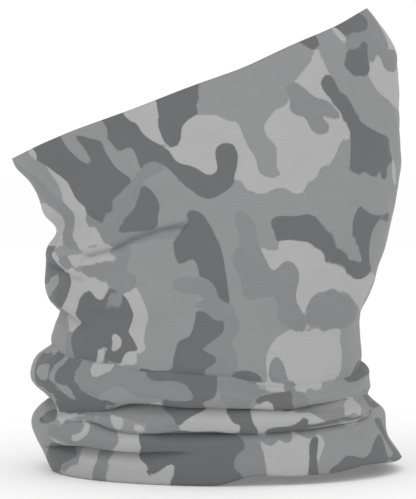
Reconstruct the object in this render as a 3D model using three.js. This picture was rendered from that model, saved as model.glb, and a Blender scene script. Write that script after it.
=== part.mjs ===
// A neck tube worn as a balaclava: one seamless tube of stretch jersey, standing as it sits on a wearer,
// pulled up over the nose in front and gathered in folds round the neck.
// Millimetres, +Z up, +X towards the face. The origin is on the ground, under the middle of the tube.
// The real tube is a single piece of cloth. Each mesh is one stretch of it, from the top edge to the hem.
import * as THREE from "three";

// Overall sizes of the worn tube.
const LENGTH = 223; // from the nape to the hem's front tip
const WIDTH = 148; // across the neck folds
const HEIGHT = 264; // from the ground to the top edge over the nose

// The smooth upper tube. Each set_in is how far it stands inside the overall length.
const TOP_EDGE_DROP = 86; // how far the top edge falls from the nose to the nape
const TOP_EDGE_SET_IN = 20.5; // at the bridge of the nose
const TOP_EDGE_WIDTH = 126; // half way along the top edge
const NECK_SET_IN = { nape: 24, front: 25 }; // above the folds
const NECK_WIDTH = 136; // above the folds

// The cloth and its edges.
const CLOTH = 1.2; // wall of the single layer
const GAP = 0.3; // between one stretch of the tube and the next
const TOP_EDGE_DEPTH = 10; // band of cloth along the top edge
const MOUTH_COVER_FOOT = 140; // height in front of the cloth that comes down with the top edge
const NOSE_COVER_FOOT = 198; // height in front of the upper half of that cloth
const HEM_DEPTH = 4; // band of cloth along the bottom edge
const HEM_LIFT = 7; // the hem's front tip stands this far off the ground
const PRINTED_JERSEY = { color: 0x8b8c8e, roughness: 0.9, metalness: 0 };

// The folds round the neck. Each crease has its height at the nape, at the side and in front, and how
// far it lies inside the overall length and width.
const FIRST_CREASE = { nape: 69, side: 61, front: 63 };
const SECOND_CREASE = { nape: 42, side: 45, front: 43 };
const THIRD_CREASE = { nape: 10, side: 29, front: 36 };
const CREASE_SET_IN = { nape: 21, side: 6, front: 20 };
const HEM_SET_IN = { nape: 21, side: 2, front: 0 };

// How far each fold stands out from the creases above and below it.
const UPPER_FOLD_OUT = { nape: 11, side: 6, front: 5 };
const MIDDLE_FOLD_OUT = { nape: 11, side: 6, front: 3 };
const HEM_FOLD_OUT = { nape: 3, side: 3, front: 4 };
const FOLD_BACKING = 4; // gathered cloth behind a crease

const SEGMENTS = 48; // round the tube
const NECK_STEPS = 10; // rows up the smooth neck
const FACE_STEPS = 6; // rows up each half of the cloth over the face
const EDGE_STEPS = 3; // rows up the band along the top edge
const FOLD_STEPS = 6; // rows up each fold, an even number so that one row is the widest

const NAPE_X = -LENGTH / 2;
const FRONT_X = LENGTH / 2;

// A row is one course of the knitting. It runs level or slanting through a nape, a side and a front
// point, each an x (or a half width) and a height. egg narrows it towards the face. bow is 1 where it
// slants evenly, and more where it leaves its slant to the nape and the face.
function course(nape, side, front, egg, bow) {
  return { nape, side, front, egg, bow };
}

// A point on a row, moved outwards by so much. Angle 0 is the face and half a turn is the nape.
function pointOn(row, angle, outward) {
  const forward = Math.cos(angle);
  const end = forward >= 0 ? row.front : row.nape;
  return new THREE.Vector3(
    (row.front.x + row.nape.x) / 2 + ((row.front.x - row.nape.x) / 2 + outward) * forward,
    (row.side.x + outward) * Math.sin(angle) * (1 - row.egg * forward),
    THREE.MathUtils.lerp(row.side.y, end.y, Math.abs(forward) ** row.bow),
  );
}

// The same row, higher or lower.
function raised(row, by) {
  const moved = (point) => new THREE.Vector2(point.x, point.y + by);
  return course(moved(row.nape), moved(row.side), moved(row.front), row.egg, row.bow);
}

// Rows up the smooth tube, from the first crease to the top edge. share is how far up, back is how far
// the nape has come from the neck's line to the overall length, and face is the same in front.
const TOP_EDGE_FACE = 1 - TOP_EDGE_SET_IN / NECK_SET_IN.front;
const UPPER_TUBE = [
  { share: 0, back: 0, face: 0, egg: 0 },
  { share: 0.07, back: 0.01, face: 0.01, egg: 0 },
  { share: 0.2, back: 0.03, face: 0.24, egg: 0.03 },
  { share: 0.41, back: 0.08, face: 0.77, egg: 0.07 },
  { share: 0.62, back: 0.18, face: 0.95, egg: 0.1 },
  { share: 0.74, back: 0.3, face: 0.93, egg: 0.13 },
  { share: 0.85, back: 0.5, face: 0.91, egg: 0.15 },
  { share: 0.93, back: 0.75, face: 0.68, egg: 0.17 },
  { share: 1, back: 1, face: TOP_EDGE_FACE, egg: 0.18 },
];
const upperRows = UPPER_TUBE.map(({ share, back, face, egg }) => {
  const { lerp } = THREE.MathUtils;
  const napeTop = HEIGHT - TOP_EDGE_DROP;
  const nape = new THREE.Vector2(
    NAPE_X + NECK_SET_IN.nape * (1 - back),
    lerp(FIRST_CREASE.nape, napeTop, share),
  );
  const front = new THREE.Vector2(
    FRONT_X - NECK_SET_IN.front * (1 - face),
    lerp(FIRST_CREASE.front, HEIGHT, share),
  );
  const side = new THREE.Vector2(
    lerp(NECK_WIDTH, TOP_EDGE_WIDTH, share) / 2,
    lerp(FIRST_CREASE.side, (napeTop + HEIGHT) / 2, share),
  );
  return course(nape, side, front, egg, 2 - Math.min(1, share * 3));
});

// The row at any level of the smooth tube, from 0 at the first crease to 1 at the top edge.
const napeLine = new THREE.SplineCurve(upperRows.map((row) => row.nape));
const sideLine = new THREE.SplineCurve(upperRows.map((row) => row.side));
const frontLine = new THREE.SplineCurve(upperRows.map((row) => row.front));
const roundness = new THREE.SplineCurve(upperRows.map((row) => new THREE.Vector2(row.egg, row.bow)));
function upperRow(level) {
  const { x: egg, y: bow } = roundness.getPoint(level);
  return course(
    napeLine.getPoint(level),
    sideLine.getPoint(level),
    frontLine.getPoint(level),
    egg,
    bow,
  );
}

// The level at which the smooth tube's front line reaches a height.
function levelAt(height) {
  let low = 0;
  let high = 1;
  while (high - low > 1e-6) {
    const middle = (low + high) / 2;
    if (frontLine.getPoint(middle).y < height) low = middle;
    else high = middle;
  }
  return low;
}

// Turns a closed wall section round the tube, and lays each of its points on that point's own row.
function turned(name, section) {
  const closed = [...section, section[0]];
  const outline = closed.map((point, i) => new THREE.Vector2(LENGTH, i));
  const geometry = new THREE.LatheGeometry(outline, SEGMENTS);
  const position = geometry.getAttribute("position");
  for (let i = 0; i < position.count; i += 1) {
    const step = Math.floor(i / closed.length) % SEGMENTS;
    const { row, outward } = closed[i % closed.length];
    position.setXYZ(i, ...pointOn(row, (2 * Math.PI * step) / SEGMENTS, outward));
  }
  geometry.computeVertexNormals();
  const mesh = new THREE.Mesh(geometry, new THREE.MeshStandardMaterial(PRINTED_JERSEY));
  mesh.name = name;
  return mesh;
}

// A wall of one layer of cloth through rows given from the bottom up.
function layer(name, rows) {
  const outside = rows.map((row) => ({ row, outward: 0 }));
  const inside = rows.map((row) => ({ row, outward: -CLOTH })).reverse();
  return turned(name, [...outside, ...inside]);
}

// One stretch of the smooth tube, with half of the gap to the next stretch at each end.
function cover(name, from, to, steps) {
  const rows = [];
  for (let i = 0; i <= steps; i += 1) {
    rows.push(upperRow(THREE.MathUtils.lerp(from, to, i / steps)));
  }
  rows[0] = raised(rows[0], GAP / 2);
  if (to < 1) rows[steps] = raised(rows[steps], -GAP / 2);
  return layer(name, rows);
}

// A row set in from the overall length and width, at its own heights.
function setInRow(heights, setIn, bow) {
  return course(
    new THREE.Vector2(NAPE_X + setIn.nape, heights.nape),
    new THREE.Vector2(WIDTH / 2 - setIn.side, heights.side),
    new THREE.Vector2(FRONT_X - setIn.front, heights.front),
    0,
    bow,
  );
}

// The hem's row, which leaves the ground towards the front.
function hemRow(height) {
  return setInRow({ nape: height, side: height, front: height + HEM_LIFT }, HEM_SET_IN, 1.3);
}

// A gathered fold between two rows: rounded outside, and backed by more cloth on the neck's side.
function fold(name, low, high, out) {
  const rows = [];
  for (let i = 0; i <= FOLD_STEPS; i += 1) {
    const share = i / FOLD_STEPS;
    const bulge = Math.max(0, Math.sin(Math.PI * share)) ** 0.7;
    const nape = low.nape.clone().lerp(high.nape, share);
    const side = low.side.clone().lerp(high.side, share);
    const front = low.front.clone().lerp(high.front, share);
    nape.x -= out.nape * bulge;
    side.x += out.side * bulge;
    front.x += out.front * bulge;
    rows.push(course(nape, side, front, 0, THREE.MathUtils.lerp(low.bow, high.bow, share)));
  }
  rows[0] = raised(low, GAP / 2);
  rows[FOLD_STEPS] = raised(high, -GAP / 2);
  const outside = rows.map((row) => ({ row, outward: 0 }));
  const backing = [rows[FOLD_STEPS], rows[0]].map((row) => ({ row, outward: -FOLD_BACKING }));
  return turned(name, [...outside, ...backing]);
}

const firstCrease = upperRow(0);
const secondCrease = setInRow(SECOND_CREASE, CREASE_SET_IN, firstCrease.bow);
const thirdCrease = setInRow(THIRD_CREASE, CREASE_SET_IN, firstCrease.bow);
const mouthCoverFoot = levelAt(MOUTH_COVER_FOOT);
const noseCoverFoot = levelAt(NOSE_COVER_FOOT);
const topEdgeFoot = levelAt(HEIGHT - TOP_EDGE_DEPTH);

const tube = new THREE.Group();
tube.add(
  cover("top_edge", topEdgeFoot, 1, EDGE_STEPS),
  cover("nose_cover", noseCoverFoot, topEdgeFoot, FACE_STEPS),
  cover("mouth_cover", mouthCoverFoot, noseCoverFoot, FACE_STEPS),
  cover("neck_cover", 0, mouthCoverFoot, NECK_STEPS),
  fold("upper_neck_fold", secondCrease, firstCrease, UPPER_FOLD_OUT),
  fold("middle_neck_fold", thirdCrease, secondCrease, MIDDLE_FOLD_OUT),
  fold("hem_fold", hemRow(HEM_DEPTH), thirdCrease, HEM_FOLD_OUT),
  layer("bottom_edge", [hemRow(0), hemRow(HEM_DEPTH - GAP / 2)]),
);

export default tube;
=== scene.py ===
import bpy
import numpy as np
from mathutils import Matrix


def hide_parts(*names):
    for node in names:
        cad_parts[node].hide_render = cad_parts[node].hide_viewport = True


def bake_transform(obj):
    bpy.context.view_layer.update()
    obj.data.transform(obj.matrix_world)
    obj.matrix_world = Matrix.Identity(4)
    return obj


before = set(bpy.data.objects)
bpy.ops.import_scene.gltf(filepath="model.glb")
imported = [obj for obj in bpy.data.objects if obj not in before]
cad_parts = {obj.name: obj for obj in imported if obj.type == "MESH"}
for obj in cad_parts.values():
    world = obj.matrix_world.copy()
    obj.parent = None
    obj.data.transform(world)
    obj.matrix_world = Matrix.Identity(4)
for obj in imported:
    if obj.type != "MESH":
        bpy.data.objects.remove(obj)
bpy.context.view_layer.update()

# THE VIEWPOINT
# A long lens on the wearer's left, level with the upper part of the tube. It looks a little down
# on the tube's side, with the face to the right.
EYE = (0.0006, -1.4, 0.2)
AIM_HEIGHT = 0.126
LENS = 176.6
FARTHEST = 30

look_down = np.arctan((EYE[2] - AIM_HEIGHT) / -EYE[1])
bpy.ops.object.select_all(action="DESELECT")
bpy.ops.object.camera_add(location=EYE, rotation=(np.pi / 2 - look_down, 0, 0))
camera = bpy.context.object
camera.name = "long_lens"
camera.data.lens = LENS
camera.data.clip_end = FARTHEST
bpy.context.scene.camera = camera
bpy.context.scene.view_settings.view_transform = "Standard"

# THE TABLE AND THE LIGHT
# A plain white table under an even white sky, with a broad soft light overhead and another in
# front, so that the tube only throws a faint shadow where its hem meets the table.
TABLE_ACROSS = 14
TABLE_WHITE = 0.91
TABLE_ROUGH = 0.9
TABLE_GLOW = 0.06
SKY_STRENGTH = 1.02
SOFT_LIGHTS = {
    "overhead_light": {
        "place": (-0.5, -0.9, 1.7),
        "turned": (0.48, -0.26, 0),
        "across": 1.4,
        "power": 3.0,
    },
    "front_light": {
        "place": (0.1, -1.7, 0.1),
        "turned": (np.pi / 2, 0, 0.06),
        "across": 0.9,
        "power": 4.5,
    },
}

bpy.ops.mesh.primitive_plane_add(size=TABLE_ACROSS)
floor = bpy.context.object
floor.name = "white_table"
white_paint = bpy.data.materials.new("white_table_top")
white_paint.use_nodes = True
paint = white_paint.node_tree.nodes["Principled BSDF"]
paint.inputs["Base Color"].default_value = (TABLE_WHITE, TABLE_WHITE, TABLE_WHITE, 1)
paint.inputs["Roughness"].default_value = TABLE_ROUGH
paint.inputs["Specular IOR Level"].default_value = 0.0
paint.inputs["Emission Color"].default_value = (1, 1, 1, 1)
paint.inputs["Emission Strength"].default_value = TABLE_GLOW
floor.data.materials.append(white_paint)

sky = bpy.data.worlds.new("white_sky")
sky.use_nodes = True
sky.node_tree.nodes["Background"].inputs["Color"].default_value = (1, 1, 1, 1)
sky.node_tree.nodes["Background"].inputs["Strength"].default_value = SKY_STRENGTH
bpy.context.scene.world = sky

for name, soft in SOFT_LIGHTS.items():
    bpy.ops.object.light_add(type="AREA", location=soft["place"], rotation=soft["turned"])
    light = bpy.context.object
    light.name = name
    light.data.shape = "DISK"
    light.data.size = soft["across"]
    light.data.energy = soft["power"]

# THE CLOTH
# One seamless tube of circular-knitted polyester jersey, cut 500 mm round and 500 mm long. It
# starts as a flat square, one unit wide: across is round the tube, from the face past the wearer's
# left side to the nape and on round, and up is from the hem to the top edge.
CLOTH_ROUND = 500
COLUMNS = 240
ROWS = 200

bpy.ops.object.select_all(action="DESELECT")
bpy.ops.mesh.primitive_grid_add(
    x_subdivisions=COLUMNS,
    y_subdivisions=ROWS,
    size=1,
    calc_uvs=True,
    location=(0.5, 0.5, 0),
)
tube = bpy.context.object
tube.name = "jersey_tube"
bpy.ops.object.transform_apply(location=True, rotation=False, scale=False)
flat = np.empty(3 * len(tube.data.vertices))
tube.data.vertices.foreach_get("co", flat)
flat = flat.reshape(-1, 3)
column = np.rint(flat[:, 0] * COLUMNS).astype(int)
row = np.rint(flat[:, 1] * ROWS).astype(int)

# HOW THE TUBE HANGS
# Pulled up over the nose in front and let down at the nape, the tube stands high and smooth. Its
# spare length is gathered round the neck, in rolls with deep creases between them. Everything here
# is in millimetres. Round the tube, 0 degrees is the face and 180 is the nape.
turn = np.linspace(0, 2 * np.pi, COLUMNS + 1)
forward = np.cos(turn)
degrees = np.degrees(np.arccos(forward))
far_side = np.clip(-np.sin(turn), 0, 1)

# How far either side the corners of each kind of table are rounded off: millimetres of height for
# line and nape, and degrees for the rest.
EASE = {"line": 1.2, "nape": 0.8, "hem": 2, "crease_height": 3, "crease": 4, "rim": 4}

# The outside of the rolls at the nape, in front and at the side, as (height, how far forward) or
# (height, how far out).
BELLY_NAPE = [
    (0, -90), (3, -91), (8, -92.7), (12.6, -95), (17, -97.2), (21.7, -99.5), (26, -101.2),
    (28.6, -101), (31, -100.2), (33, -98.6), (35.5, -96.9), (37.8, -94.6), (40, -91.3),
    (42.3, -86.8), (44.6, -91.6), (47, -96.6), (49, -99.2), (51.5, -100.4), (54, -100.7),
    (58.3, -100.2), (60.6, -99.6), (63, -98.6), (65.5, -97.4), (68, -95), (72, -92),
]
BELLY_FRONT = [
    (0, 113.8), (8, 112.6), (10.3, 110.2), (14.9, 106.4), (19.4, 103.5), (24, 101.9), (33, 101.6),
    (36, 101.4), (38, 100), (39.2, 93.5), (40.5, 91.4), (43, 92.2), (47, 94.2), (53, 92.9),
    (58.3, 92.1), (60.6, 90.9), (63, 87.5), (66, 86.4),
]
BELLY_SIDE = [(0, 72), (10, 73), (25, 74), (45, 73.5), (55, 73), (62, 71.5), (70, 70)]

# The same for the smooth tube above them, with the span of heights that each line runs through.
# PLAIN_NAPE, by share of the way up, is the nape without its dents, which fade towards the sides.
UPPER_NAPE = [
    (60, -88.4), (69, -87.6), (76, -89.3), (83, -87.5), (87, -85.6), (91, -83.4), (94, -84.8),
    (97, -89), (101, -91.5), (107, -92.7), (114, -93.2), (121, -92.7), (128, -90.9), (131.5, -87),
    (135, -85), (138.5, -85.2), (142, -88), (145, -92.5), (149, -93.8), (155, -95), (159, -96.7),
    (162, -99), (166, -101.8), (169, -104.7), (172.7, -108), (174.5, -110), (178, -111.3),
]
UPPER_FRONT = [
    (60, 88), (80, 88), (90, 87.4), (94, 88), (97, 89.8), (111, 96), (125, 100.7), (138, 104),
    (152, 107.5), (159, 109.3), (169, 110.4), (183, 110.4), (193, 109.8), (217, 109.3),
    (238, 109.3), (241, 108.1), (248, 104.7), (255, 99), (262, 93.8), (264, 91.2),
]
UPPER_SIDE = [(60, 68), (70, 67), (85, 65.5), (100, 65), (130, 65), (160, 64.5), (221, 63)]
UPPER_SPAN = {"nape": (69, 178), "front": (63, 264), "side": (60, 221)}
PLAIN_NAPE = [(0, -88.5), (0.4, -90.5), (0.7, -94), (0.85, -99), (1, -111.3)]
DENTS_FADE = 1.4

# The top edge slants up from the nape to the nose, sags between them, and narrows to the nose. The
# hem lies on the table at the nape and lifts off it towards the front, less so on the far side.
RIM = {"level": 221, "slant": 43, "egg": 0.18}
RIM_SAG = [
    (0, 1.6), (9, 0), (24, 1.4), (34, 3), (42, 3.5), (56, 3.5), (66, 4.3), (73, 5), (90, 2.9),
    (108, 1.9), (128, -0.3), (142, -0.6), (160, 0), (180, 0),
]
HEM_LIFT = [
    (0, 7.2), (20, 7.1), (32, 8.3), (41, 8.3), (49, 6.5), (56, 5.1), (62, 5.3), (69, 4.8),
    (77, 5.9), (84, 4.9), (89, 2.3), (93, 0.6), (98, 0), (180, 0),
]
LESS_ON_FAR_SIDE = 0.6

# A crease runs round the tube at its own height, and is only there for part of the way, all in
# tables by degrees from the face. Its depth is how far its bottom lies inside the rolls, tuck is
# how far the hidden cloth climbs behind the roll above, behind is how much further in it does so,
# and droop is how far that roll hangs over it.
CREASES = {
    "hem": {
        "height": [(0, 22), (90, 18), (105, 18), (120, 17.5), (150, 17), (180, 12)],
        "there": [(96, 0), (116, 1), (146, 1), (162, 0), (180, 0)],
        "depth": [(0, 8), (180, 9)],
        "behind": 2,
        "tuck": [(0, 6), (180, 9)],
        "droop": [(0, 1.5), (180, 1.5)],
    },
    "third": {
        "height": [
            (0, 38.3), (18, 38), (26, 34.2), (35, 33.2), (50, 31.5), (65, 30), (90, 29.5),
            (105, 29), (118, 29.3), (124, 30.7), (131, 34), (136, 34), (142, 31), (157, 29),
            (170, 35), (180, 36),
        ],
        "there": [(0, 1), (126, 1), (139, 0), (180, 0)],
        "depth": [(0, 10), (60, 9), (180, 9)],
        "behind": 5,
        "tuck": [(0, 18), (180, 18)],
        "droop": [(0, 1), (40, 2.5), (110, 2), (180, 1)],
    },
    "second": {
        "height": [
            (0, 49), (20, 47), (35, 44.5), (50, 43), (60, 43), (90, 43.5), (112, 45.5), (118, 45),
            (123, 43.5), (130, 40), (138, 38.5), (148, 37), (157, 36.5), (166, 41), (174, 42.5),
            (180, 42.8),
        ],
        "there": [(0, 0), (36, 0), (56, 1), (180, 1)],
        "depth": [(0, 10), (90, 9), (180, 12)],
        "behind": 5,
        "tuck": [(0, 20), (180, 21)],
        "droop": [(0, 1), (30, 1), (60, 2), (120, 2.5), (160, 2.5), (180, 1)],
    },
    "first": {
        "height": [
            (0, 62.5), (8, 60), (14, 56.6), (21, 53.4), (29, 53), (40, 52), (48, 51), (55, 50.6),
            (61, 50.4), (67, 50.6), (72, 54), (77, 57.2), (87, 58.6), (100, 59.6), (111, 59.2),
            (122, 61), (131, 62.4), (139, 61.8), (147, 61.8), (160, 66), (180, 70),
        ],
        "there": [(0, 1), (180, 1)],
        "depth": [(0, 12), (40, 9), (100, 9), (180, 15)],
        "behind": 0,
        "tuck": [(0, 18), (90, 20), (180, 22)],
        "droop": [(0, 1), (14, 2.5), (30, 3), (66, 3), (76, 1), (100, 0), (180, 0)],
    },
}

# Where the cloth goes at a crease, from the roll below to the roll above it: how far in, how far
# above the crease it would be without the fold, and how much of the tuck and the droop it takes.
CREASE_PATH = [
    {"in": 0.0, "side_in": 0.06, "rise": -6.0, "tuck": 0, "droop": 0, "from": "below"},
    {"in": 0.05, "side_in": 0.3, "rise": -3.2, "tuck": 0, "droop": 0, "from": "below"},
    {"in": 0.6, "side_in": 0.75, "rise": -1.2, "tuck": 0.25, "droop": 0, "from": "below"},
    {"in": 1.0, "side_in": 1.0, "rise": 0, "tuck": 1, "droop": 0, "from": "above"},
    {"in": 0.55, "side_in": 0.62, "rise": 0.4, "tuck": 0.4, "droop": 0.3, "from": "above"},
    {"in": 0.1, "side_in": 0.26, "rise": 1.0, "tuck": 0, "droop": 1, "from": "above"},
    {"in": 0.0, "side_in": 0.02, "rise": 3.4, "tuck": 0, "droop": 0.7, "from": "above"},
]
ROOM_FOR_CREASE = 16
LEAST_ROOM = 0.2
RISE_PER_LEVEL = 150

# A roll swells a little between its creases, at a share of the way up from each. A ring's weight
# is how closely the knitted rows lie there.
ROLL_SWELL = 0.6
SWELL_UNDER_CREASE = 0.62
SWELL_OVER_CREASE = 0.4
HEM_TURNED_IN = 0.8
HEM_BAND = 4
WEIGHTS = {"plain": 1.0, "roll": 1.3, "crease": 1.5}
UPPER_LEVELS = np.linspace(0.06, 1, 30)
SMOOTHINGS = 2


def eased(at, table, ease=EASE["line"]):
    """The table's value there, with its corners rounded off over that much either side."""
    places, values = zip(*table)
    offsets = ease * np.linspace(-1, 1, 7)
    return np.mean([np.interp(at + step, places, values) for step in offsets], axis=0)


def on_roll(height, inward, lift=0):
    """A ring on the rolls' outside, or so far inside it."""
    centre = (eased(height, BELLY_FRONT) + eased(height, BELLY_NAPE)) / 2
    half_length = (eased(height, BELLY_FRONT) - eased(height, BELLY_NAPE)) / 2
    half_width = eased(height, BELLY_SIDE)
    return np.stack(
        [
            centre + (half_length - inward) * forward,
            -(half_width - inward) * np.sin(turn),
            height + lift + 0 * turn,
        ],
        axis=1,
    )


crease_heights = [
    eased(degrees, crease["height"], EASE["crease_height"]) for crease in CREASES.values()
]
first_height = crease_heights[-1]
rim_height = RIM["level"] + RIM["slant"] * forward - eased(degrees, RIM_SAG, EASE["rim"])
hem_lift = eased(degrees, HEM_LIFT, EASE["hem"]) * (1 - LESS_ON_FAR_SIDE * far_side)


def on_upper(level, inward, lift=0):
    """A ring on the smooth upper tube. level is 0 at the first crease and 1 at the top edge."""
    heights = {line: low + (high - low) * level for line, (low, high) in UPPER_SPAN.items()}
    nape = eased(heights["nape"], UPPER_NAPE, EASE["nape"])
    plain_nape = np.interp(level, *zip(*PLAIN_NAPE))
    front = eased(heights["front"], UPPER_FRONT)
    half_width = eased(heights["side"], UPPER_SIDE)
    x = (front + plain_nape) / 2 + (front - plain_nape) / 2 * forward
    x = x + (nape - plain_nape) * np.clip(-forward, 0, 1) ** DENTS_FADE
    return np.stack(
        [
            x - inward * forward,
            -(half_width - inward) * np.sin(turn) * (1 - RIM["egg"] * level * forward),
            first_height + (rim_height - first_height) * level + lift,
        ],
        axis=1,
    )


rings, weights, tucked = [], [], []


def lay(ring, weight, in_tuck=0):
    """Lays the next ring up. in_tuck is 1 where it is hidden behind a roll."""
    rings.append(ring)
    weights.append(WEIGHTS[weight])
    tucked.append(in_tuck + 0 * turn)


lay(on_roll(hem_lift, HEM_TURNED_IN), "plain")
lay(on_roll(hem_lift + HEM_BAND, 0), "roll")
top_crease = len(CREASES) - 1
for number, crease in enumerate(CREASES.values()):
    height = crease_heights[number]
    there, depth, tuck, droop = (
        eased(degrees, crease[form], EASE["crease"]) for form in ("there", "depth", "tuck", "droop")
    )
    below = crease_heights[number - 1] if number else hem_lift
    above = crease_heights[number + 1] if number < top_crease else height + ROOM_FOR_CREASE
    room = {"below": height - below, "above": above - height}
    lay(on_roll(below + SWELL_UNDER_CREASE * room["below"], -ROLL_SWELL * there), "roll")
    for step in CREASE_PATH:
        bend = there * (step["tuck"] * tuck - step["droop"] * droop)
        rise = step["rise"] * np.clip(room[step["from"]] / ROOM_FOR_CREASE, LEAST_ROOM, 1)
        share_in = step["in"] + (step["side_in"] - step["in"]) * np.sin(turn) ** 2
        inward = (share_in * depth + step["tuck"] * crease["behind"]) * there
        if number == top_crease and step["from"] == "above":
            bent = on_upper(rise / RISE_PER_LEVEL, inward, lift=bend)
        else:
            bent = on_roll(height + rise, inward, lift=bend)
        lay(bent, "crease", in_tuck=there * (step["tuck"] > 0))
    if number < top_crease:
        lay(on_roll(height + SWELL_OVER_CREASE * room["above"], -ROLL_SWELL * there), "roll")
for level in UPPER_LEVELS:
    lay(on_upper(level, 0), "plain")
rings, weights, tucked = np.array(rings), np.array(weights), np.array(tucked)

# The rows of knitting are shared out along the rings, closer together in the folds, on a smooth
# curve through them.
lengths = np.linalg.norm(np.diff(rings, axis=0), axis=2).mean(axis=1)
lengths = lengths * (weights[1:] + weights[:-1]) / 2
passed = np.concatenate([[0], np.cumsum(lengths)])
row_place = np.interp(np.linspace(0, passed[-1], ROWS + 1), passed, np.arange(len(rings)))
ring = np.minimum(row_place.astype(int), len(rings) - 2)
part = (row_place - ring)[:, None]
in_fold = tucked[ring] * (1 - part) + tucked[ring + 1] * part > 0.5


def through(before, start, end, after, part):
    """A point so far along from start to end, on a smooth curve through all four."""
    return 0.5 * (
        2 * start
        + (end - before) * part
        + (2 * before - 5 * start + 4 * end - after) * part**2
        + (3 * start - before - 3 * end + after) * part**3
    )


cloth = through(
    rings[np.maximum(ring - 1, 0)],
    rings[ring],
    rings[ring + 1],
    rings[np.minimum(ring + 2, len(rings) - 1)],
    part[:, :, None],
)
for _ in range(SMOOTHINGS):
    cloth[1:-1] = (cloth[:-2] + 2 * cloth[1:-1] + cloth[2:]) / 4

# LOOSE WRINKLES
# Slack cloth over the back of the head and the jaw falls into a few short pleats, with one raised
# ridge over the cheek, and the whole tube has the slight unevenness of thin jersey. A line is
# across and up, as it lies on either side of the head.
PLEATS = [
    {
        "line": [(-66, 126), (-52, 130), (-40, 136), (-26, 141), (-16, 143)],
        "depth": 3.2,
        "wide": 2.2,
    },
    {"line": [(-86, 94), (-78, 92), (-68, 85)], "depth": 2.6, "wide": 2.0},
    {"line": [(-92, 120), (-82, 117), (-72, 112)], "depth": 2.2, "wide": 2.2},
    {"line": [(-48, 76), (-20, 86), (0, 92), (20, 110)], "depth": 1.1, "wide": 8},
    {"line": [(52, 56), (66, 60), (78, 66)], "depth": 1.0, "wide": 5},
]
PLEAT_END = 9
PLEATS_OVER_CREASE = 3
RIDGE = {"line": [(73, 137), (80, 155), (88, 172)], "height": 1.2, "wide": 7}
RIDGE_END = 12
FADE_TO_MIDDLE = 4
FAR_SIDE_HIGHER = 7

# Over a pleat the cloth stands out in a lip, and over a narrow one it also hangs down. Each is a
# share of the pleat's depth, at so many of its widths above it.
LIP = {"share": 0.55, "at": 2.2, "wide": 1.6}
HANG = {"share": 0.7, "at": 1.3, "wide": 1.2}
NARROW = 4

# Unevenness is waves, (length, height), several of each at random slants. It dies out at the two
# edges of the cloth.
UNEVEN = [(50, 0.5), (26, 0.24), (14, 0.08)]
UNEVEN_SEED = 11
WAVES_EACH = 7
WAVES_ADD_UP = 2.2
STEEPEST = 0.8
EVEN_HEM = 30
EVEN_RIM = 40
LEAST_UNEVEN = 0.15
OFF_THE_TABLE = 0.15

chance = np.random.default_rng(UNEVEN_SEED)
around = np.roll(cloth[:, :-1], -1, axis=1) - np.roll(cloth[:, :-1], 1, axis=1)
around = np.concatenate([around, around[:, :1]], axis=1)
along = np.gradient(cloth, axis=0)
outward = np.cross(along, around)
outward /= np.linalg.norm(outward, axis=2, keepdims=True)


def between_ends(place, low, high, fade):
    """1 from one end of a wrinkle to the other, and fading out beyond them."""
    return np.clip(np.minimum(place - low, high - place) / fade + 1, 0, 1)


def over_pleat(above, wide, rise):
    """How far a lip or a hang stands out, as a share of the pleat's depth."""
    return rise["share"] * np.exp(-(((above - rise["at"] * wide) / (rise["wide"] * wide)) ** 2))


pressed_in = np.zeros(cloth.shape[:2])
hung_down = np.zeros(cloth.shape[:2])
pleats_from = len(rings) - len(UPPER_LEVELS) + PLEATS_OVER_CREASE
above_creases = np.clip((row_place[:, None] - pleats_from) / PLEATS_OVER_CREASE, 0, 1)
for side, higher in ((1, 0), (-1, FAR_SIDE_HIGHER)):
    on_side = np.clip(side * np.sin(turn) * FADE_TO_MIDDLE, 0, 1) * above_creases
    across, up = cloth[:, :, 0], cloth[:, :, 2]
    for pleat in PLEATS:
        xs, zs = zip(*pleat["line"])
        wide = pleat["wide"]
        above = up - higher - np.interp(across, xs, zs)
        ends = between_ends(across, xs[0], xs[-1], PLEAT_END)
        ends = ends * ends * (3 - 2 * ends)
        valley = np.exp(-((above / wide) ** 2)) - over_pleat(above, wide, LIP)
        pressed_in += pleat["depth"] * valley * ends * on_side
        if wide < NARROW:
            hung_down += pleat["depth"] * over_pleat(above, wide, HANG) * ends * on_side
    xs, zs = zip(*RIDGE["line"])
    aside = (across - np.interp(up - higher, zs, xs)) / RIDGE["wide"]
    ends = between_ends(up, zs[0], zs[-1], RIDGE_END)
    pressed_in -= RIDGE["height"] * np.exp(-(aside**2)) * ends * on_side
place_round = turn / (2 * np.pi)
place_up = cloth[:, :, 2] / rim_height.max()
row_up = np.linspace(0, 1, ROWS + 1)[:, None]
for length, height in UNEVEN:
    waves = int(CLOTH_ROUND / length)
    for _ in range(WAVES_EACH):
        round_waves = chance.integers(max(1, waves // 3), waves + 1)
        up_waves = chance.uniform(-STEEPEST, STEEPEST) * waves
        start_at = chance.uniform(0, 2 * np.pi)
        wave = np.cos(2 * np.pi * (round_waves * place_round + up_waves * place_up) + start_at)
        pressed_in += height / WAVES_ADD_UP * wave
pressed_in *= np.clip(row_up * EVEN_HEM, 0, 1)
pressed_in *= np.clip((1 - row_up) * EVEN_RIM, LEAST_UNEVEN, 1)
cloth = cloth - pressed_in[:, :, None] * outward
cloth[:, :, 2] -= hung_down
cloth[:, -1] = cloth[:, 0]
cloth[:, :, 2] = np.maximum(cloth[:, :, 2], OFF_THE_TABLE)
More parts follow.
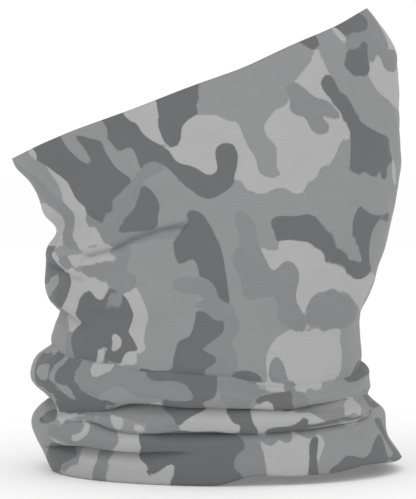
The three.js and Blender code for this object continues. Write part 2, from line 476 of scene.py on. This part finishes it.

# THE PRINT, WITH PAINTED SHADE
# A four-tone grey camouflage print, laid in layers on the knitted cloth before it is cut. It
# repeats half way round the cloth, so the right side carries it again. Two mid-dark patches also
# carry
# painted shade: the shadow under the pleat behind the head, and the darkening along the nape's
# edge.

# Each patch is a closed outline, (across, up), or a chain of round dabs, (across, up, radius). The
# points are millimetres on the worn tube's left side, seen square on, and are then found on the
# cloth, so that the print and its painted shade move with it.
PATCH_LAYERS = {
    "light_patches": [
        [(-50, 212), (-48, 204), (-44, 199.5), (-40, 198), (-38, 194), (-34, 190), (-29, 187),
         (-24, 184), (-21, 181), (-18, 177), (-14, 175), (-7, 173), (-2, 170), (1, 167), (8, 165),
         (16, 166), (20, 165), (22, 161), (27, 158.5), (34, 158.5), (39, 161), (45, 161),
         (48, 159), (51, 158), (55, 159), (58, 164), (63, 168), (65, 173), (70, 175), (74, 181),
         (76, 187), (79, 190), (84, 190), (84, 200), (78, 212), (70, 226), (66, 234), (64, 240),
         (61, 241), (60, 236), (57, 230), (53, 226), (50, 221), (49, 216), (46, 210), (40, 206),
         (35, 201), (33, 196), (34, 191), (38, 187), (40, 183), (40, 178), (40, 173), (42, 169.5),
         (40, 167.5), (36, 167), (31, 169), (29, 172), (28, 178), (24, 184), (20, 193), (17, 199),
         (12, 199.5), (9, 201), (5, 203), (0, 203), (-8, 203), (-15, 206), (-24, 210), (-28, 220)],
        [(-92, 174), (-86, 170), (-80, 165), (-78, 161), (-76, 157), (-73, 153), (-69.5, 150),
         (-69, 141), (-66, 138), (-62, 136), (-60, 133), (-60, 130.5), (-66, 128), (-72, 126),
         (-75, 129), (-77, 134), (-76, 140), (-76, 146), (-79, 150), (-82, 153), (-83, 158),
         (-85, 163), (-89, 169)],
        [(-94, 153), (-88, 149), (-83, 145), (-81, 139), (-83, 134), (-82, 129), (-86, 127),
         (-96, 127), (-98, 148)],
        [(-102, 189), (-98, 187), (-97.5, 181), (-97, 177), (-99, 178), (-102, 182)],
        [(71, 257), (75, 253), (79, 248), (79, 243), (75, 247), (71, 252)],
        [(95, 259), (104, 258), (113, 240), (113, 205), (109, 206), (104, 211), (98, 216),
         (94, 222), (92, 226), (93, 233), (97, 237), (103, 241)],
        [(106, 178), (108, 172), (108, 163), (106, 167)],
        [(30, 127.5), (36, 125.5), (41, 126), (41.5, 131), (50, 135), (58, 136), (66, 129),
         (72, 121), (80, 116), (88, 112), (94, 113), (98, 111), (96, 108), (91, 98), (88, 91),
         (85, 96), (79, 101), (70, 103), (62, 100), (58, 94), (56.5, 88), (58, 82), (60, 80),
         (50, 78), (45, 95), (45, 110), (40, 112), (36, 115), (33, 121)],
        [(34.5, 50), (34, 60), (34.5, 66), (38, 73), (43, 77.5), (50, 80), (60, 80.3), (76, 80),
         (76, 75), (77.3, 68), (77, 57), (74, 52), (69, 48.5), (62, 45), (53, 43.5), (44, 44.5),
         (36, 44), (31, 45.5), (28, 48), (29, 49.7)],
        [(-89.5, 125), (-88.5, 120), (-84, 116), (-80, 112), (-77.8, 108), (-79, 102),
         (-83.5, 92.5), (-79, 89.5), (-75, 88), (-73.5, 93), (-70, 101), (-67, 102.5), (-64, 98.5),
         (-61.5, 97), (-59, 98.5), (-56.3, 103), (-57, 106), (-62, 108), (-70, 111.5),
         (-77, 115.5), (-84, 120.5), (-87, 124)],
        [(-80, 89), (-75, 88.5), (-74, 86), (-71.5, 84.3), (-75, 81), (-78.5, 77.5), (-79.5, 83)],
        [(-80, 122), (-73, 123.5), (-64, 126.5), (-56, 129.7), (-53.5, 127.5), (-56, 124),
         (-50.5, 121.5), (-53, 119.5), (-59, 119.5), (-64, 116.8), (-70, 116.2), (-76, 116),
         (-78, 118.5)],
        [(-49, 101), (-44, 102.5), (-41, 105), (-38, 100), (-35, 93), (-33.7, 87), (-35.5, 80),
         (-36, 74), (-35.5, 68), (-40.5, 67), (-40.5, 60.5), (-52, 60.5), (-52, 75), (-55, 95)],
        [(-89, 42), (-87.5, 37), (-86, 31), (-84.5, 25), (-83.5, 24), (-81.5, 28), (-77, 28.5),
         (-71, 30), (-66, 31), (-64, 33.5), (-69, 33.5), (-74, 31.5), (-80, 31), (-84, 33),
         (-86, 37.5), (-88, 43)],
        [(-90, 18.5, 0.7), (-86, 15.5, 1.2), (-80, 13, 0.7), (-72, 10.8, 0.7), (-60, 9.6, 0.7)],
        [(-55.5, 30), (-48.5, 29), (-49.5, 22.5), (-53.5, 23.5)],
        [(-42, 25), (-37, 25), (-36, 21), (-41, 21)],
        [(-33, 38), (-26, 38.3), (-25.3, 35.5), (-29, 36)],
        [(-16, 24), (-13, 27), (-7, 31), (-1, 34.5), (5, 34.7), (10.5, 34.3), (13, 29), (16, 25.5),
         (19.5, 25), (20, 20), (5, 21.3), (-8, 20.7), (-15.5, 20)],
        [(23, 34), (40, 33.2), (58, 33), (62, 30.5), (68.5, 27.3), (66, 25.8), (50, 23), (35, 20),
         (29, 19.8), (27, 25)],
        [(24, 34), (29, 36.5), (34.5, 38.7), (38, 36.5), (38.7, 33)],
        [(78.5, 30), (79, 36), (80, 41), (84, 40), (87, 37.5), (88.7, 33.5), (88, 30.5),
         (86.5, 31), (85, 33), (83, 31.5)],
        [(29.5, 20), (38, 20.5), (52, 22), (62, 20), (66, 18), (67.7, 13.5), (66, 9), (64, 3),
         (63.5, -2), (63.5, -14), (34, -14), (34, 0), (33, 6), (31, 13)],
        [(92, 3, 1), (100, 5, 1.2)],
        [(76, 26.2), (82, 26.7), (88, 28.5), (86, 26), (81, 24.6)],
        [(-51.5, 20.5), (-50.5, 16.5), (-53, 12), (-57, 9.5), (-58, 5), (-56, 2), (-57.5, -3),
         (-58, -14), (-17, -14), (-17, 2), (-22, 3), (-33, -1), (-36, 8), (-36, 20)],
        [(-72, 10.5), (-62, 10), (-63, 5), (-65.5, -1), (-65.5, -8), (-80, -6), (-84, -1),
         (-83, 2), (-78, 3), (-74, 6)],
    ],
    "mid_dark_print_and_shade": [
        [(-69, 146), (-67, 145), (-62, 142), (-59, 142), (-56, 148), (-52, 155), (-47, 161),
         (-43, 165.5), (-38, 172), (-36, 174), (-32, 176.5), (-27, 175), (-24, 173), (-29, 169),
         (-34, 167), (-37, 164.5), (-36, 160), (-38, 155), (-41, 149), (-45, 144), (-50, 138),
         (-50, 134), (-60, 133), (-62, 136), (-66, 138), (-69, 141)],
        # Painted shadow: this lens is the shade under the pleat behind the head, where the fold
        # undercuts.
        [(-62, 134), (-50, 137), (-40, 136.5), (-28, 138.5), (-14, 142), (-8, 142.5), (-12, 139),
         (-15, 135), (-19, 132), (-30, 131), (-45, 129), (-53, 130)],
        # This patch is print, drawn out along the nape's edge with painted shade where the cloth
        # turns away.
        [(-114, 178), (-104, 172), (-95, 165), (-88, 158), (-82, 153), (-79, 150), (-76, 146),
         (-76, 138), (-77, 134), (-75, 129), (-73, 125), (-78, 126), (-82, 129), (-83, 134),
         (-81, 139), (-82, 144), (-86, 149), (-91, 151), (-93, 153), (-99, 157), (-107, 168)],
        [(45, 217), (46, 220), (49, 221.5), (52, 221), (57, 217), (62, 213), (69, 210.5),
         (73, 207), (76, 203), (76, 201), (72, 200.5), (69, 202), (67, 203.5), (66, 202),
         (69, 199), (70, 195), (68, 192.5), (64, 192), (60, 194), (58, 198), (55, 202), (51, 203),
         (48, 205), (47, 209), (47.5, 212)],
        [(83, 261.5), (88, 265), (93, 268), (96, 258), (100, 251), (103, 244), (103, 241),
         (107, 240), (109, 235), (108, 229), (105, 227), (101, 230), (99, 236), (97, 237),
         (95, 233), (92.5, 233), (91, 244), (87, 243), (84, 239), (80, 240), (79, 243), (80, 247),
         (84, 251), (91, 252)],
        [(16, 143), (17, 147), (20, 148), (24, 145), (28, 139), (29, 131), (31, 126), (34, 120),
         (37, 114), (40, 115), (43, 118), (46, 119.5), (50, 118), (53, 112), (52, 105), (51, 98),
         (54, 91), (57, 84), (56, 79), (53, 78), (49, 80), (42, 84), (40, 88), (41, 92), (40, 97),
         (37, 99), (30, 98), (25, 97), (21, 99), (20, 105), (19, 111), (15, 117), (15, 123),
         (18, 128), (19, 133), (17, 138)],
        [(57, 93), (60, 98), (64, 101.5), (70, 102.7), (77, 101.5), (83, 97.5), (86, 92), (84, 85),
         (76, 80), (66, 80), (61, 81), (58, 84), (57, 89)],
        [(36.5, 50), (35.7, 57), (37, 62), (40, 64.5), (43, 62), (45, 57), (46.5, 50.5),
         (50.5, 50), (51, 45), (47.5, 43.5), (44, 45), (44.5, 49)],
        [(-20, 105), (-18, 109), (-12, 110.5), (-5, 110), (2, 108), (6, 100), (13, 96), (16, 91),
         (17, 87), (19, 81), (15, 75), (15, 70), (17.5, 66), (17.3, 57), (15, 53.5), (6, 52.5),
         (-3, 53), (-3, 60), (-3, 90), (-8, 93.5), (-4, 96), (-1, 98), (-5, 100), (-12, 100.5),
         (-17, 102)],
        [(-85, 118.5), (-84, 122), (-80, 122), (-78.3, 118), (-76, 115.5), (-80, 114)],
        [(-77, 115.5), (-70, 116.2), (-64, 117), (-59, 119.5), (-52, 120), (-51, 122), (-54, 126),
         (-52, 130), (-46, 130), (-43.5, 124), (-45.5, 118), (-45.5, 113), (-41, 111.5),
         (-40.5, 106), (-44, 102), (-47.5, 100.8), (-49, 96), (-53, 92), (-57, 90.5), (-57.5, 95),
         (-55, 100), (-54, 104), (-57, 106.5), (-62, 108.5), (-70, 112)],
        [(-80.5, 77), (-77, 79), (-78, 72), (-76.5, 66), (-73, 61), (-79, 62), (-81.5, 68)],
        [(-74, 60), (-66, 61), (-50, 59), (-42, 57), (-38, 55.5), (-33, 52), (-28, 50.3),
         (-19, 50), (-13, 48.5), (-9, 44), (-8, 40.5), (-12, 38.5), (-20, 38.8), (-26, 39.5),
         (-30, 40.5), (-38, 40), (-45, 44), (-50, 47), (-57, 45.5), (-64, 41.5), (-70, 43.5),
         (-73, 46), (-75.5, 50), (-75.5, 56)],
        [(-91.5, 19), (-90.5, 22), (-86, 24), (-83, 26), (-80, 28.5), (-75, 28), (-70, 31.5),
         (-62, 31), (-56, 30), (-55, 26), (-52, 21), (-51, 17), (-53, 12), (-57, 9.8), (-68, 11),
         (-78, 14), (-86, 17)],
        [(-60, 33), (-55, 31.5), (-46, 28.5), (-36, 26.5), (-33.5, 31), (-34, 35.5), (-40, 37.5),
         (-50, 36.5)],
        [(-34.5, 22), (-34, 29), (-32, 36), (-27, 36), (-22, 32.5), (-18, 27), (-15.5, 22),
         (-15, 20), (-25, 20.3)],
        [(57, 33), (65, 33.2), (72, 34.5), (76, 35.5), (79, 34), (79, 30), (76.5, 28), (69, 27),
         (62.5, 30.5)],
        [(6, 52.5), (14, 52), (21, 51.3), (28, 49.5), (28.5, 47), (32, 45), (37, 44), (31, 42.5),
         (28, 40.5), (25, 37), (20, 35), (14, 34.5), (10, 37), (8, 41)],
        [(48, 45), (53, 44), (59, 45.5), (58, 40), (59, 33), (49, 33)],
        [(14, 20), (29.5, 19.8), (31, 13), (33, 6), (34, 0), (34, -14), (16, -14), (14, 5)],
        [(32.5, 18), (33.5, 14.5), (36.5, 12.5), (40, 15), (42, 16.5), (45, 14.5), (48.5, 15.5),
         (49, 19), (47, 21), (37, 20.5)],
        [(50.5, 21.5), (54, 18.8), (59, 17), (62.5, 18.5), (63, 21.5), (58, 23.3)],
        [(-65.5, -8), (-65.5, -1), (-63, 5), (-62, 9.8), (-54, 9.3), (-57, 4), (-58.5, -2),
         (-58, -9)],
        [(-73.5, 8.5, 1.5), (-75, 4, 1.5), (-80, 2, 1.5), (-83, -1, 1.5)],
    ],
    "dark_patches": [
        [(-101, 188), (-97.5, 181), (-97, 177), (-92, 174), (-86, 169.5), (-80, 165), (-78, 161),
         (-76, 157), (-73, 153), (-69.5, 150), (-69, 147), (-67, 145), (-62, 142), (-59, 142),
         (-56, 148), (-52, 155), (-47, 161), (-43, 165.5), (-47, 169), (-52, 173), (-57, 180),
         (-60, 187), (-62, 188.5), (-69, 190), (-73, 191.5), (-75, 190), (-70, 184), (-67, 179),
         (-67, 175), (-71, 176), (-76, 180), (-81, 186), (-84, 192), (-86, 199)],
        [(-60, 206), (-60, 200), (-57.5, 196), (-56.5, 192), (-57, 189.5), (-54, 186.5),
         (-51, 182), (-48, 183), (-45, 184.5), (-42, 183), (-39.5, 177), (-38, 172), (-36, 174),
         (-32, 176.5), (-27, 175), (-23, 173), (-19, 169.5), (-14, 164), (-9, 160), (-5, 157),
         (0, 155), (5, 156), (10, 159), (15, 163), (16, 168), (17.5, 175), (17.5, 181), (15, 186),
         (11, 187), (7, 186), (4.7, 182), (5.5, 176), (6, 172), (4, 169.5), (1, 168.5), (-2, 170),
         (-7, 173), (-14, 175), (-18, 177), (-21, 181.5), (-24, 184.5), (-29, 187), (-34, 190),
         (-38, 194), (-40, 198), (-44, 199.5), (-48, 204), (-50, 212)],
        [(-37, 163), (-33, 161), (-29.5, 157), (-27, 151), (-28, 145), (-28.5, 138.5), (-33, 137),
         (-38, 136.5), (-45, 136), (-50, 135.5), (-50, 139), (-46, 144.5), (-41.5, 150),
         (-39, 156), (-38, 160.5)],
        [(-28, 220), (-28, 205), (-28, 198), (-26, 191), (-23, 186), (-20, 184.5), (-17, 185.5),
         (-15, 189), (-14.5, 195), (-12, 199), (-8, 202), (-5, 204), (-6, 208), (-4.5, 213),
         (-5, 217), (-6, 228)],
        [(52, 245), (58, 251), (63, 247), (62, 241), (59.5, 239), (57, 242)],
        [(68, 226), (66, 224), (65, 220), (67, 216), (71, 211), (75, 206), (78, 201), (80, 197),
         (82, 192), (82, 180), (81, 171), (85, 170), (90, 170), (94, 168), (97, 167.5), (98, 170),
         (99, 171), (99.5, 168), (101, 166), (103, 168), (103, 173), (106, 177), (104.5, 183),
         (104, 189), (101, 192), (94, 195), (89, 198), (86, 202), (82, 210), (76, 217), (71, 225)],
        [(72, 254), (78, 259), (84, 262), (87, 260.5), (90, 259), (91.5, 256.5), (91.5, 253.5),
         (90.4, 251.3), (87, 250.2), (82.8, 249.8), (80.3, 247.5), (79, 246.3), (77.5, 249),
         (75.5, 251.2)],
        [(90, 245.5), (91.5, 243), (92, 235), (93, 229), (91, 225.5), (88, 224.5), (83, 226),
         (79, 230), (78, 233), (80, 239), (83, 240), (86, 241)],
        [(36.5, 141), (38, 144), (41, 145), (50, 145), (57, 146), (62, 145), (65, 141.5),
         (69, 137), (73, 131), (76, 126), (80, 122), (85, 119), (89, 118.5), (88, 123),
         (85.5, 128), (84, 133), (83, 141), (85, 147), (88, 151.5), (90, 149), (95, 146),
         (101, 146), (104.5, 147), (103.5, 142), (100, 143), (97, 141), (94, 134), (93, 127),
         (93, 120), (94, 114), (91, 110.5), (87, 109), (84, 109.5), (80, 112.5), (75, 117),
         (70, 118.5), (67, 117.5), (68, 121), (64, 126), (59, 129.5), (54, 131), (45, 131),
         (39.5, 131), (39, 135)],
        [(-19, 131), (-15.5, 135), (-13, 140), (-10, 142), (-12, 145), (-11, 148), (-7, 148.3),
         (-3, 146.5), (0, 143), (4, 135.5), (8, 127), (10.5, 115), (12.3, 102), (13, 95),
         (9, 96.5), (6.5, 99), (5, 103.5), (2, 107.5), (-1.5, 109.5), (-4, 110), (-5, 115),
         (-7, 119.5), (-9, 120.5), (-13, 118.5), (-16, 117.5), (-18, 121), (-19, 127)],
        [(-6, 90.5), (-1, 90), (3, 86.5), (6, 85), (9, 85.5), (10, 81.5), (8.5, 77.5), (4, 74),
         (0, 71), (-3, 68), (1, 66.5), (6, 63), (3, 59.5), (-1, 57), (-1, 53.5), (5, 52.5),
         (6, 47), (5, 42), (2, 39.5), (-2, 38), (-2, 36), (0, 34.3), (-7, 31), (-13, 27),
         (-16, 24), (-19, 28), (-24, 33), (-25.5, 36), (-25, 40), (-20, 38.8), (-12, 38.5),
         (-8, 40.5), (-9, 44), (-13, 48.5), (-19, 50), (-28, 50.5), (-34, 52), (-39, 56.5),
         (-30, 57), (-21, 56), (-19, 64), (-16.5, 72.5), (-10, 76), (-7.5, 82)],
        [(-96, 127), (-90, 128.5), (-87, 127), (-89, 123.5), (-87.5, 119.5), (-84, 116),
         (-80, 112), (-77.8, 108), (-79, 102), (-81.5, 96), (-84, 92.5), (-88, 95), (-97, 99),
         (-99, 115)],
        [(-75, 88), (-74, 94), (-70, 101), (-67, 102.5), (-64, 98.5), (-61.5, 97), (-59, 98.5),
         (-56, 103.5), (-52, 102), (-47, 99), (-43.5, 93), (-42.3, 88), (-43.5, 83), (-45, 79),
         (-43, 75.5), (-40.5, 71), (-40, 67.5), (-45.5, 67.2), (-48.5, 63), (-50, 60.5),
         (-60, 60.5), (-74, 61.5), (-76.5, 66), (-78, 73), (-76.5, 79), (-72, 84)],
        [(-93, 67), (-86, 64), (-79, 62.5), (-73, 60.5), (-75.5, 56), (-75.5, 50), (-72, 45),
         (-66, 41), (-58, 38.8), (-51, 38), (-56, 35), (-62, 32.5), (-70, 31.5), (-78, 31),
         (-84, 33), (-86.5, 37), (-88, 43), (-92, 45), (-97, 48), (-99, 52), (-98, 60), (-96, 64)],
        [(-96, 28), (-93, 32), (-88, 34), (-86.5, 32), (-87, 28), (-91, 26), (-96, 26)],
        [(10.7, 34.3), (17, 34.3), (23, 33.8), (25.5, 30), (27, 25), (29.5, 19.8), (19, 20),
         (19.3, 24.7), (15.5, 26), (13, 29.5)],
        [(33, 20), (35, 22.5), (40, 23.5), (47, 24.3), (52, 26), (56, 29.5), (58.8, 27.5),
         (58.8, 25.3), (70, 27.5), (88, 30.5), (88, 29), (75, 26.2), (60, 23.3), (48, 21)],
        [(13.5, 53.5), (17, 55.8), (22, 56.5), (27, 55.5), (30.5, 53), (33, 50), (28, 50),
         (20, 51.5)],
        [(27.5, 38), (29.5, 41), (35, 42.5), (45, 44.3), (48.5, 44.5), (49, 38), (49, 33.3),
         (39, 33), (38, 37), (34.5, 39), (30, 37)],
        [(80, 50), (83.5, 55), (86.5, 62), (90, 63), (95, 60), (93, 55), (90, 53), (86, 50.3)],
        [(90.5, 31.5), (93, 35.5), (93, 39.5), (97, 38.5), (100, 36.5), (96, 34.5)],
        [(-39.3, 17.5), (-37.5, 20), (-30, 20.5), (0, 21.3), (10, 20.3), (17, 19.3), (21, 15.5),
         (21.5, 11), (17, 7), (15.5, 2.5), (16.5, -1), (20, -4), (20, -14), (-19, -14), (-19, -4),
         (-19, 1.8), (-22, 2), (-27, -1.5), (-33, -4.5), (-35, -3), (-34, 1), (-38, 4.5),
         (-39.3, 8), (-38, 12)],
        [(59, 14), (61, 18), (63.8, 18), (64, 14), (63.4, 8), (63.8, 2), (64.4, -4), (65, -12),
         (57.5, -12), (58.8, 2), (58.8, 9)],
        [(71, -1), (76, 3), (80, 7), (85, 7), (90, 6), (94, 9), (95.5, 14), (98, 19), (100, 19),
         (102, 14), (103.5, 8), (104, 4), (98, 1), (85, -4), (72, -6)],
        [(96.5, 28.5), (99, 29.5), (101.5, 24), (106, 15), (113, 8), (110, 4), (105, 5),
         (107, 8.5), (104, 14), (100, 21), (97, 26)],
        [(-89, 14.5), (-84, 14), (-79, 12), (-75, 10.3), (-75, 7), (-79, 4.5), (-83, 2.5),
         (-85, -2), (-92, -2), (-92, 8)],
    ],
    "base_over_patches": [
        [(-96, 105), (-91, 108), (-88, 110.5), (-85.3, 111.5), (-85, 107), (-87.5, 103),
         (-90, 100.5), (-93, 99)],
        [(-97, 53), (-98, 56), (-96, 59.5), (-91, 60), (-91, 55), (-92, 51), (-95, 51)],
        [(-90, 50), (-90, 55), (-87, 60), (-84, 63), (-80, 62), (-85, 58), (-88, 52), (-87, 50)],
        [(-86, 49), (-80, 47), (-77, 43), (-75, 39), (-76, 38.5), (-82, 43), (-87, 46)],
    ],
    "mid_dark_over_patches": [
        [(-57.5, 90.5), (-57, 96), (-54.5, 101), (-50, 102), (-48.5, 98), (-49.5, 94),
         (-53, 91.3)],
    ],
    "light_over_patches": [
        [(-54.5, 77), (-50.5, 76), (-48.8, 73), (-50.5, 69), (-55, 67.7), (-54, 71.5)],
        [(-61, 69), (-57, 68.8), (-59, 65.5), (-59.5, 61), (-63, 61), (-62.8, 66)],
        [(-78, 16.5), (-77.5, 19), (-73, 20.5), (-71, 24), (-72, 28), (-68.5, 27), (-67.3, 23.5),
         (-69.5, 19), (-73, 16.3), (-76.5, 15.5)],
        [(-67.5, 60), (-60, 59.5), (-53, 58), (-58, 55.5), (-62, 53), (-65, 52.7), (-67, 55)],
    ],
}
MM = 0.001
CURVE_STEPS = 3
REPEAT = 0.5
BEYOND = 12
TURNED_TO_SIDE = -0.03
NEARER_COUNTS = 0.3
OUT_OF_SIGHT = 1000
FAR_OFF = 60.0
EDGE_REACH = 6

steps_round = np.linalg.norm(np.diff(cloth, axis=1), axis=2)
run_round = np.concatenate([np.zeros((ROWS + 1, 1)), np.cumsum(steps_round, axis=1)], axis=1)
cloth_round = CLOTH_ROUND * run_round / run_round[:, -1:]
steps_up = np.linalg.norm(np.diff(cloth, axis=0), axis=2)
cloth_up = np.concatenate([np.zeros((1, COLUMNS + 1)), np.cumsum(steps_up, axis=0)])

# The worn cloth seen square on to its left side, at the scale of the tube's middle. The far side
# and the cloth hidden in the creases are put out of sight.
distance = -EYE[1] / MM
nearer = distance / (distance + cloth[:, :, 1])
seen_across = cloth[:, :, 0] * nearer
seen_up = EYE[2] / MM + (cloth[:, :, 2] - EYE[2] / MM) * nearer
in_sight = (outward[:, :, 1] < TURNED_TO_SIDE) & ~in_fold
hidden = NEARER_COUNTS * cloth[:, :, 1] + np.where(in_sight, 0, OUT_OF_SIGHT)

across_by_row, across_by_column = np.gradient(seen_across)
up_by_row, up_by_column = np.gradient(seen_up)
round_by_column = np.gradient(cloth_round, axis=1)
climb_by_row = np.gradient(cloth_up, axis=0)


def on_the_cloth(across, up):
    """Where a point of the print lies: so far round the cloth and so far up it."""
    miss = (seen_across - across) ** 2 + (seen_up - up) ** 2 + hidden
    place = np.unravel_index(np.argmin(miss), miss.shape)
    left = np.array([across - seen_across[place], up - seen_up[place]])
    slopes = np.array(
        [[across_by_column[place], across_by_row[place]], [up_by_column[place], up_by_row[place]]]
    )
    columns, rows = np.clip(np.linalg.solve(slopes, left), -1, 1)
    left = np.clip(left - slopes @ (columns, rows), -BEYOND, BEYOND)
    return np.array(
        [
            cloth_round[place] + columns * round_by_column[place] - left[0],
            cloth_up[place] + rows * climb_by_row[place] + left[1],
        ]
    )


def rounded(outline):
    """A closed outline with a smooth curve through its points."""
    points = np.array(outline, float)
    before, after, beyond = (np.roll(points, shift, axis=0) for shift in (1, -1, -2))
    shares = np.arange(CURVE_STEPS) / CURVE_STEPS
    between = [through(before, points, after, beyond, share) for share in shares]
    return np.stack(between, axis=1).reshape(-1, 2)


def patch_edge(edge, line, radii, closed, repeat):
    """Lowers edge, the distance outside a layer's patches, to one patch's own where it is less."""
    middle = line.mean(axis=0) + (repeat, 0)
    across = (cloth_round - middle[0] + CLOTH_ROUND / 2) % CLOTH_ROUND - CLOTH_ROUND / 2
    up = cloth_up - middle[1]
    line = line + (repeat, 0) - middle
    reach = np.abs(line).max(axis=0) + max(radii) + EDGE_REACH
    near = (np.abs(across) < reach[0]) & (np.abs(up) < reach[1])
    across, up = across[near], up[near]
    away = np.full(across.shape, FAR_OFF)
    inside = np.zeros(across.shape, bool)
    ends = np.roll(line, -1, axis=0)
    count = len(line) if closed else len(line) - 1
    for number in range(count):
        (from_across, from_up), (step_across, step_up) = line[number], ends[number] - line[number]
        part = (across - from_across) * step_across + (up - from_up) * step_up
        part = np.clip(part / max(step_across**2 + step_up**2, 1e-6), 0, 1)
        gap = np.hypot(across - from_across - part * step_across, up - from_up - part * step_up)
        radius = radii[number] + (radii[(number + 1) % len(radii)] - radii[number]) * part
        away = np.minimum(away, gap - radius)
        crosses = (from_up > up) != (ends[number][1] > up)
        if closed and crosses.any():
            at = from_across + (up - from_up) * step_across / np.where(step_up == 0, 1e-9, step_up)
            inside ^= crosses & (across < at)
    edge[near] = np.minimum(edge[near], np.where(inside, -away, away))


patch_edges = {}
for layer, patches in PATCH_LAYERS.items():
    edge = np.full(cloth.shape[:2], FAR_OFF)
    for patch in patches:
        closed = len(patch[0]) == 2
        marks = rounded(patch) if closed else np.array(patch, float)
        line = np.array([on_the_cloth(mark[0], mark[1]) for mark in marks])
        radii = np.zeros(len(line)) if closed else marks[:, 2]
        for repeat in (0, REPEAT * CLOTH_ROUND):
            patch_edge(edge, line, radii, closed, repeat)
    patch_edges[layer] = edge

# SHAPING THE TUBE
# The flat cloth is taken to its worn shape, closed into a tube without a seam, and given the
# jersey's thickness. Its paler reverse shows inside the neck opening.
JERSEY_THICK = 0.7
CLOSE_ENOUGH = 1e-5

worn = cloth[row, column] * MM
tube.data.vertices.foreach_set("co", worn.ravel())
for layer, edge in patch_edges.items():
    marks = tube.data.attributes.new(layer, "FLOAT", "POINT")
    marks.data.foreach_set("value", edge[row, column].astype(np.float32))
knit = tube.data.uv_layers[0]
knit.name = "knit"
corner = np.empty(2 * len(tube.data.loops))
knit.data.foreach_get("uv", corner)
corner = corner.reshape(-1, 2)
mean_up = cloth_up.mean(axis=1)
corner[:, 0] *= CLOTH_ROUND
corner[:, 1] = np.interp(corner[:, 1] * ROWS, np.arange(ROWS + 1), mean_up)
knit.data.foreach_set("uv", corner.ravel())
tube.data.update()

bpy.ops.object.mode_set(mode="EDIT")
bpy.ops.mesh.select_all(action="SELECT")
bpy.ops.mesh.remove_doubles(threshold=CLOSE_ENOUGH)
bpy.ops.mesh.flip_normals()
bpy.ops.object.mode_set(mode="OBJECT")
bpy.ops.object.shade_smooth()
wall = tube.modifiers.new("wall", "SOLIDIFY")
wall.thickness = JERSEY_THICK * MM
wall.offset = -1
wall.material_offset = 1
wall.material_offset_rim = 1
bpy.ops.object.modifier_apply(modifier="wall")

# THE JERSEY
# Matt polyester single jersey. The print, with its painted shade, sits in the face, heathered along
# the courses, and the reverse is paler, with the print showing faintly through it.
TONES = {
    "base": (0.240, 0.242, 0.245),
    "light": (0.364, 0.364, 0.366),
    "mid_dark": (0.208, 0.211, 0.214),
    "dark": (0.126, 0.128, 0.131),
}
LAYER_TONES = {
    "light_patches": "light",
    "mid_dark_print_and_shade": "mid_dark",
    "dark_patches": "dark",
    "base_over_patches": "base",
    "mid_dark_over_patches": "mid_dark",
    "light_over_patches": "light",
}
PATCH_BLUR = 0.3
HEATHER = {"across_and_up": (0.14, 1.5, 1), "detail": 3, "From": (0.3, 0.7), "To": (0.96, 1.04)}
LOOPS = {"across_and_up": (1.25, 0.9, 1), "detail": 2, "strength": 0.25, "height": 0.0003}
MATT = {
    "Roughness": 0.88,
    "Specular IOR Level": 0.2,
    "Sheen Weight": 0.12,
    "Sheen Roughness": 0.5,
}
REVERSE_TONE = (0.5, 0.5, 0.5, 1)
REVERSE_PALER = 0.7


def jersey(name, reverse):
    """The face of the cloth with its print and painted shade, or its pale reverse."""
    cloth_look = bpy.data.materials.new(name)
    cloth_look.use_nodes = True
    nodes, links = cloth_look.node_tree.nodes, cloth_look.node_tree.links
    shader = nodes["Principled BSDF"]
    for socket, value in MATT.items():
        shader.inputs[socket].default_value = value

    def add(kind, **settings):
        made = nodes.new("ShaderNode" + kind)
        for setting, value in settings.items():
            setattr(made, setting, value)
        return made

    def mixed(under, over, share=None):
        """One colour under another, by a share that is set here or linked by the caller."""
        mix = add("Mix", data_type="RGBA")
        colours = {socket.name: socket for socket in mix.inputs if socket.type == "RGBA"}
        links.new(under, colours["A"])
        colours["B"].default_value = over
        if share is not None:
            mix.inputs[0].default_value = share
        return mix.inputs[0], next(socket for socket in mix.outputs if socket.type == "RGBA")

    def along_knit(across_and_up, detail):
        """Noise drawn out along the knit, in waves to the millimetre across it and up it."""
        drawn_out = add("Mapping")
        drawn_out.inputs["Scale"].default_value = across_and_up
        links.new(knit_map.outputs["UV"], drawn_out.inputs["Vector"])
        noise = add("TexNoise")
        noise.inputs["Scale"].default_value = 1.0
        noise.inputs["Detail"].default_value = detail
        links.new(drawn_out.outputs["Vector"], noise.inputs["Vector"])
        return noise.outputs["Fac"]

    knit_map = add("UVMap", uv_map="knit")
    tone = add("RGB").outputs[0]
    tone.default_value = (*TONES["base"], 1)
    for layer, layer_tone in LAYER_TONES.items():
        marks = add("Attribute", attribute_name=layer)
        inside = add("MapRange")
        inside.inputs["From Min"].default_value = PATCH_BLUR
        inside.inputs["From Max"].default_value = -PATCH_BLUR
        links.new(marks.outputs["Fac"], inside.inputs["Value"])
        share, tone = mixed(tone, (*TONES[layer_tone], 1))
        links.new(inside.outputs["Result"], share)

    fleck = add("MapRange")
    for span in ("From", "To"):
        low, high = HEATHER[span]
        fleck.inputs[span + " Min"].default_value = low
        fleck.inputs[span + " Max"].default_value = high
    links.new(along_knit(HEATHER["across_and_up"], HEATHER["detail"]), fleck.inputs["Value"])
    heathered = add("VectorMath", operation="SCALE")
    links.new(tone, heathered.inputs[0])
    links.new(fleck.outputs["Result"], heathered.inputs["Scale"])
    finish = heathered.outputs["Vector"]
    if reverse:
        _, finish = mixed(finish, REVERSE_TONE, share=REVERSE_PALER)
    links.new(finish, shader.inputs["Base Color"])

    bump = add("Bump")
    bump.inputs["Strength"].default_value = LOOPS["strength"]
    bump.inputs["Distance"].default_value = LOOPS["height"]
    links.new(along_knit(LOOPS["across_and_up"], LOOPS["detail"]), bump.inputs["Height"])
    links.new(bump.outputs["Normal"], shader.inputs["Normal"])
    return cloth_look


tube.data.materials.append(jersey("face_print_and_painted_shade", reverse=False))
tube.data.materials.append(jersey("pale_reverse", reverse=True))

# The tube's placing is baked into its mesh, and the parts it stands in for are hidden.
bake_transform(tube)
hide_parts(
    "top_edge",
    "nose_cover",
    "mouth_cover",
    "neck_cover",
    "upper_neck_fold",
    "middle_neck_fold",
    "hem_fold",
    "bottom_edge",
)
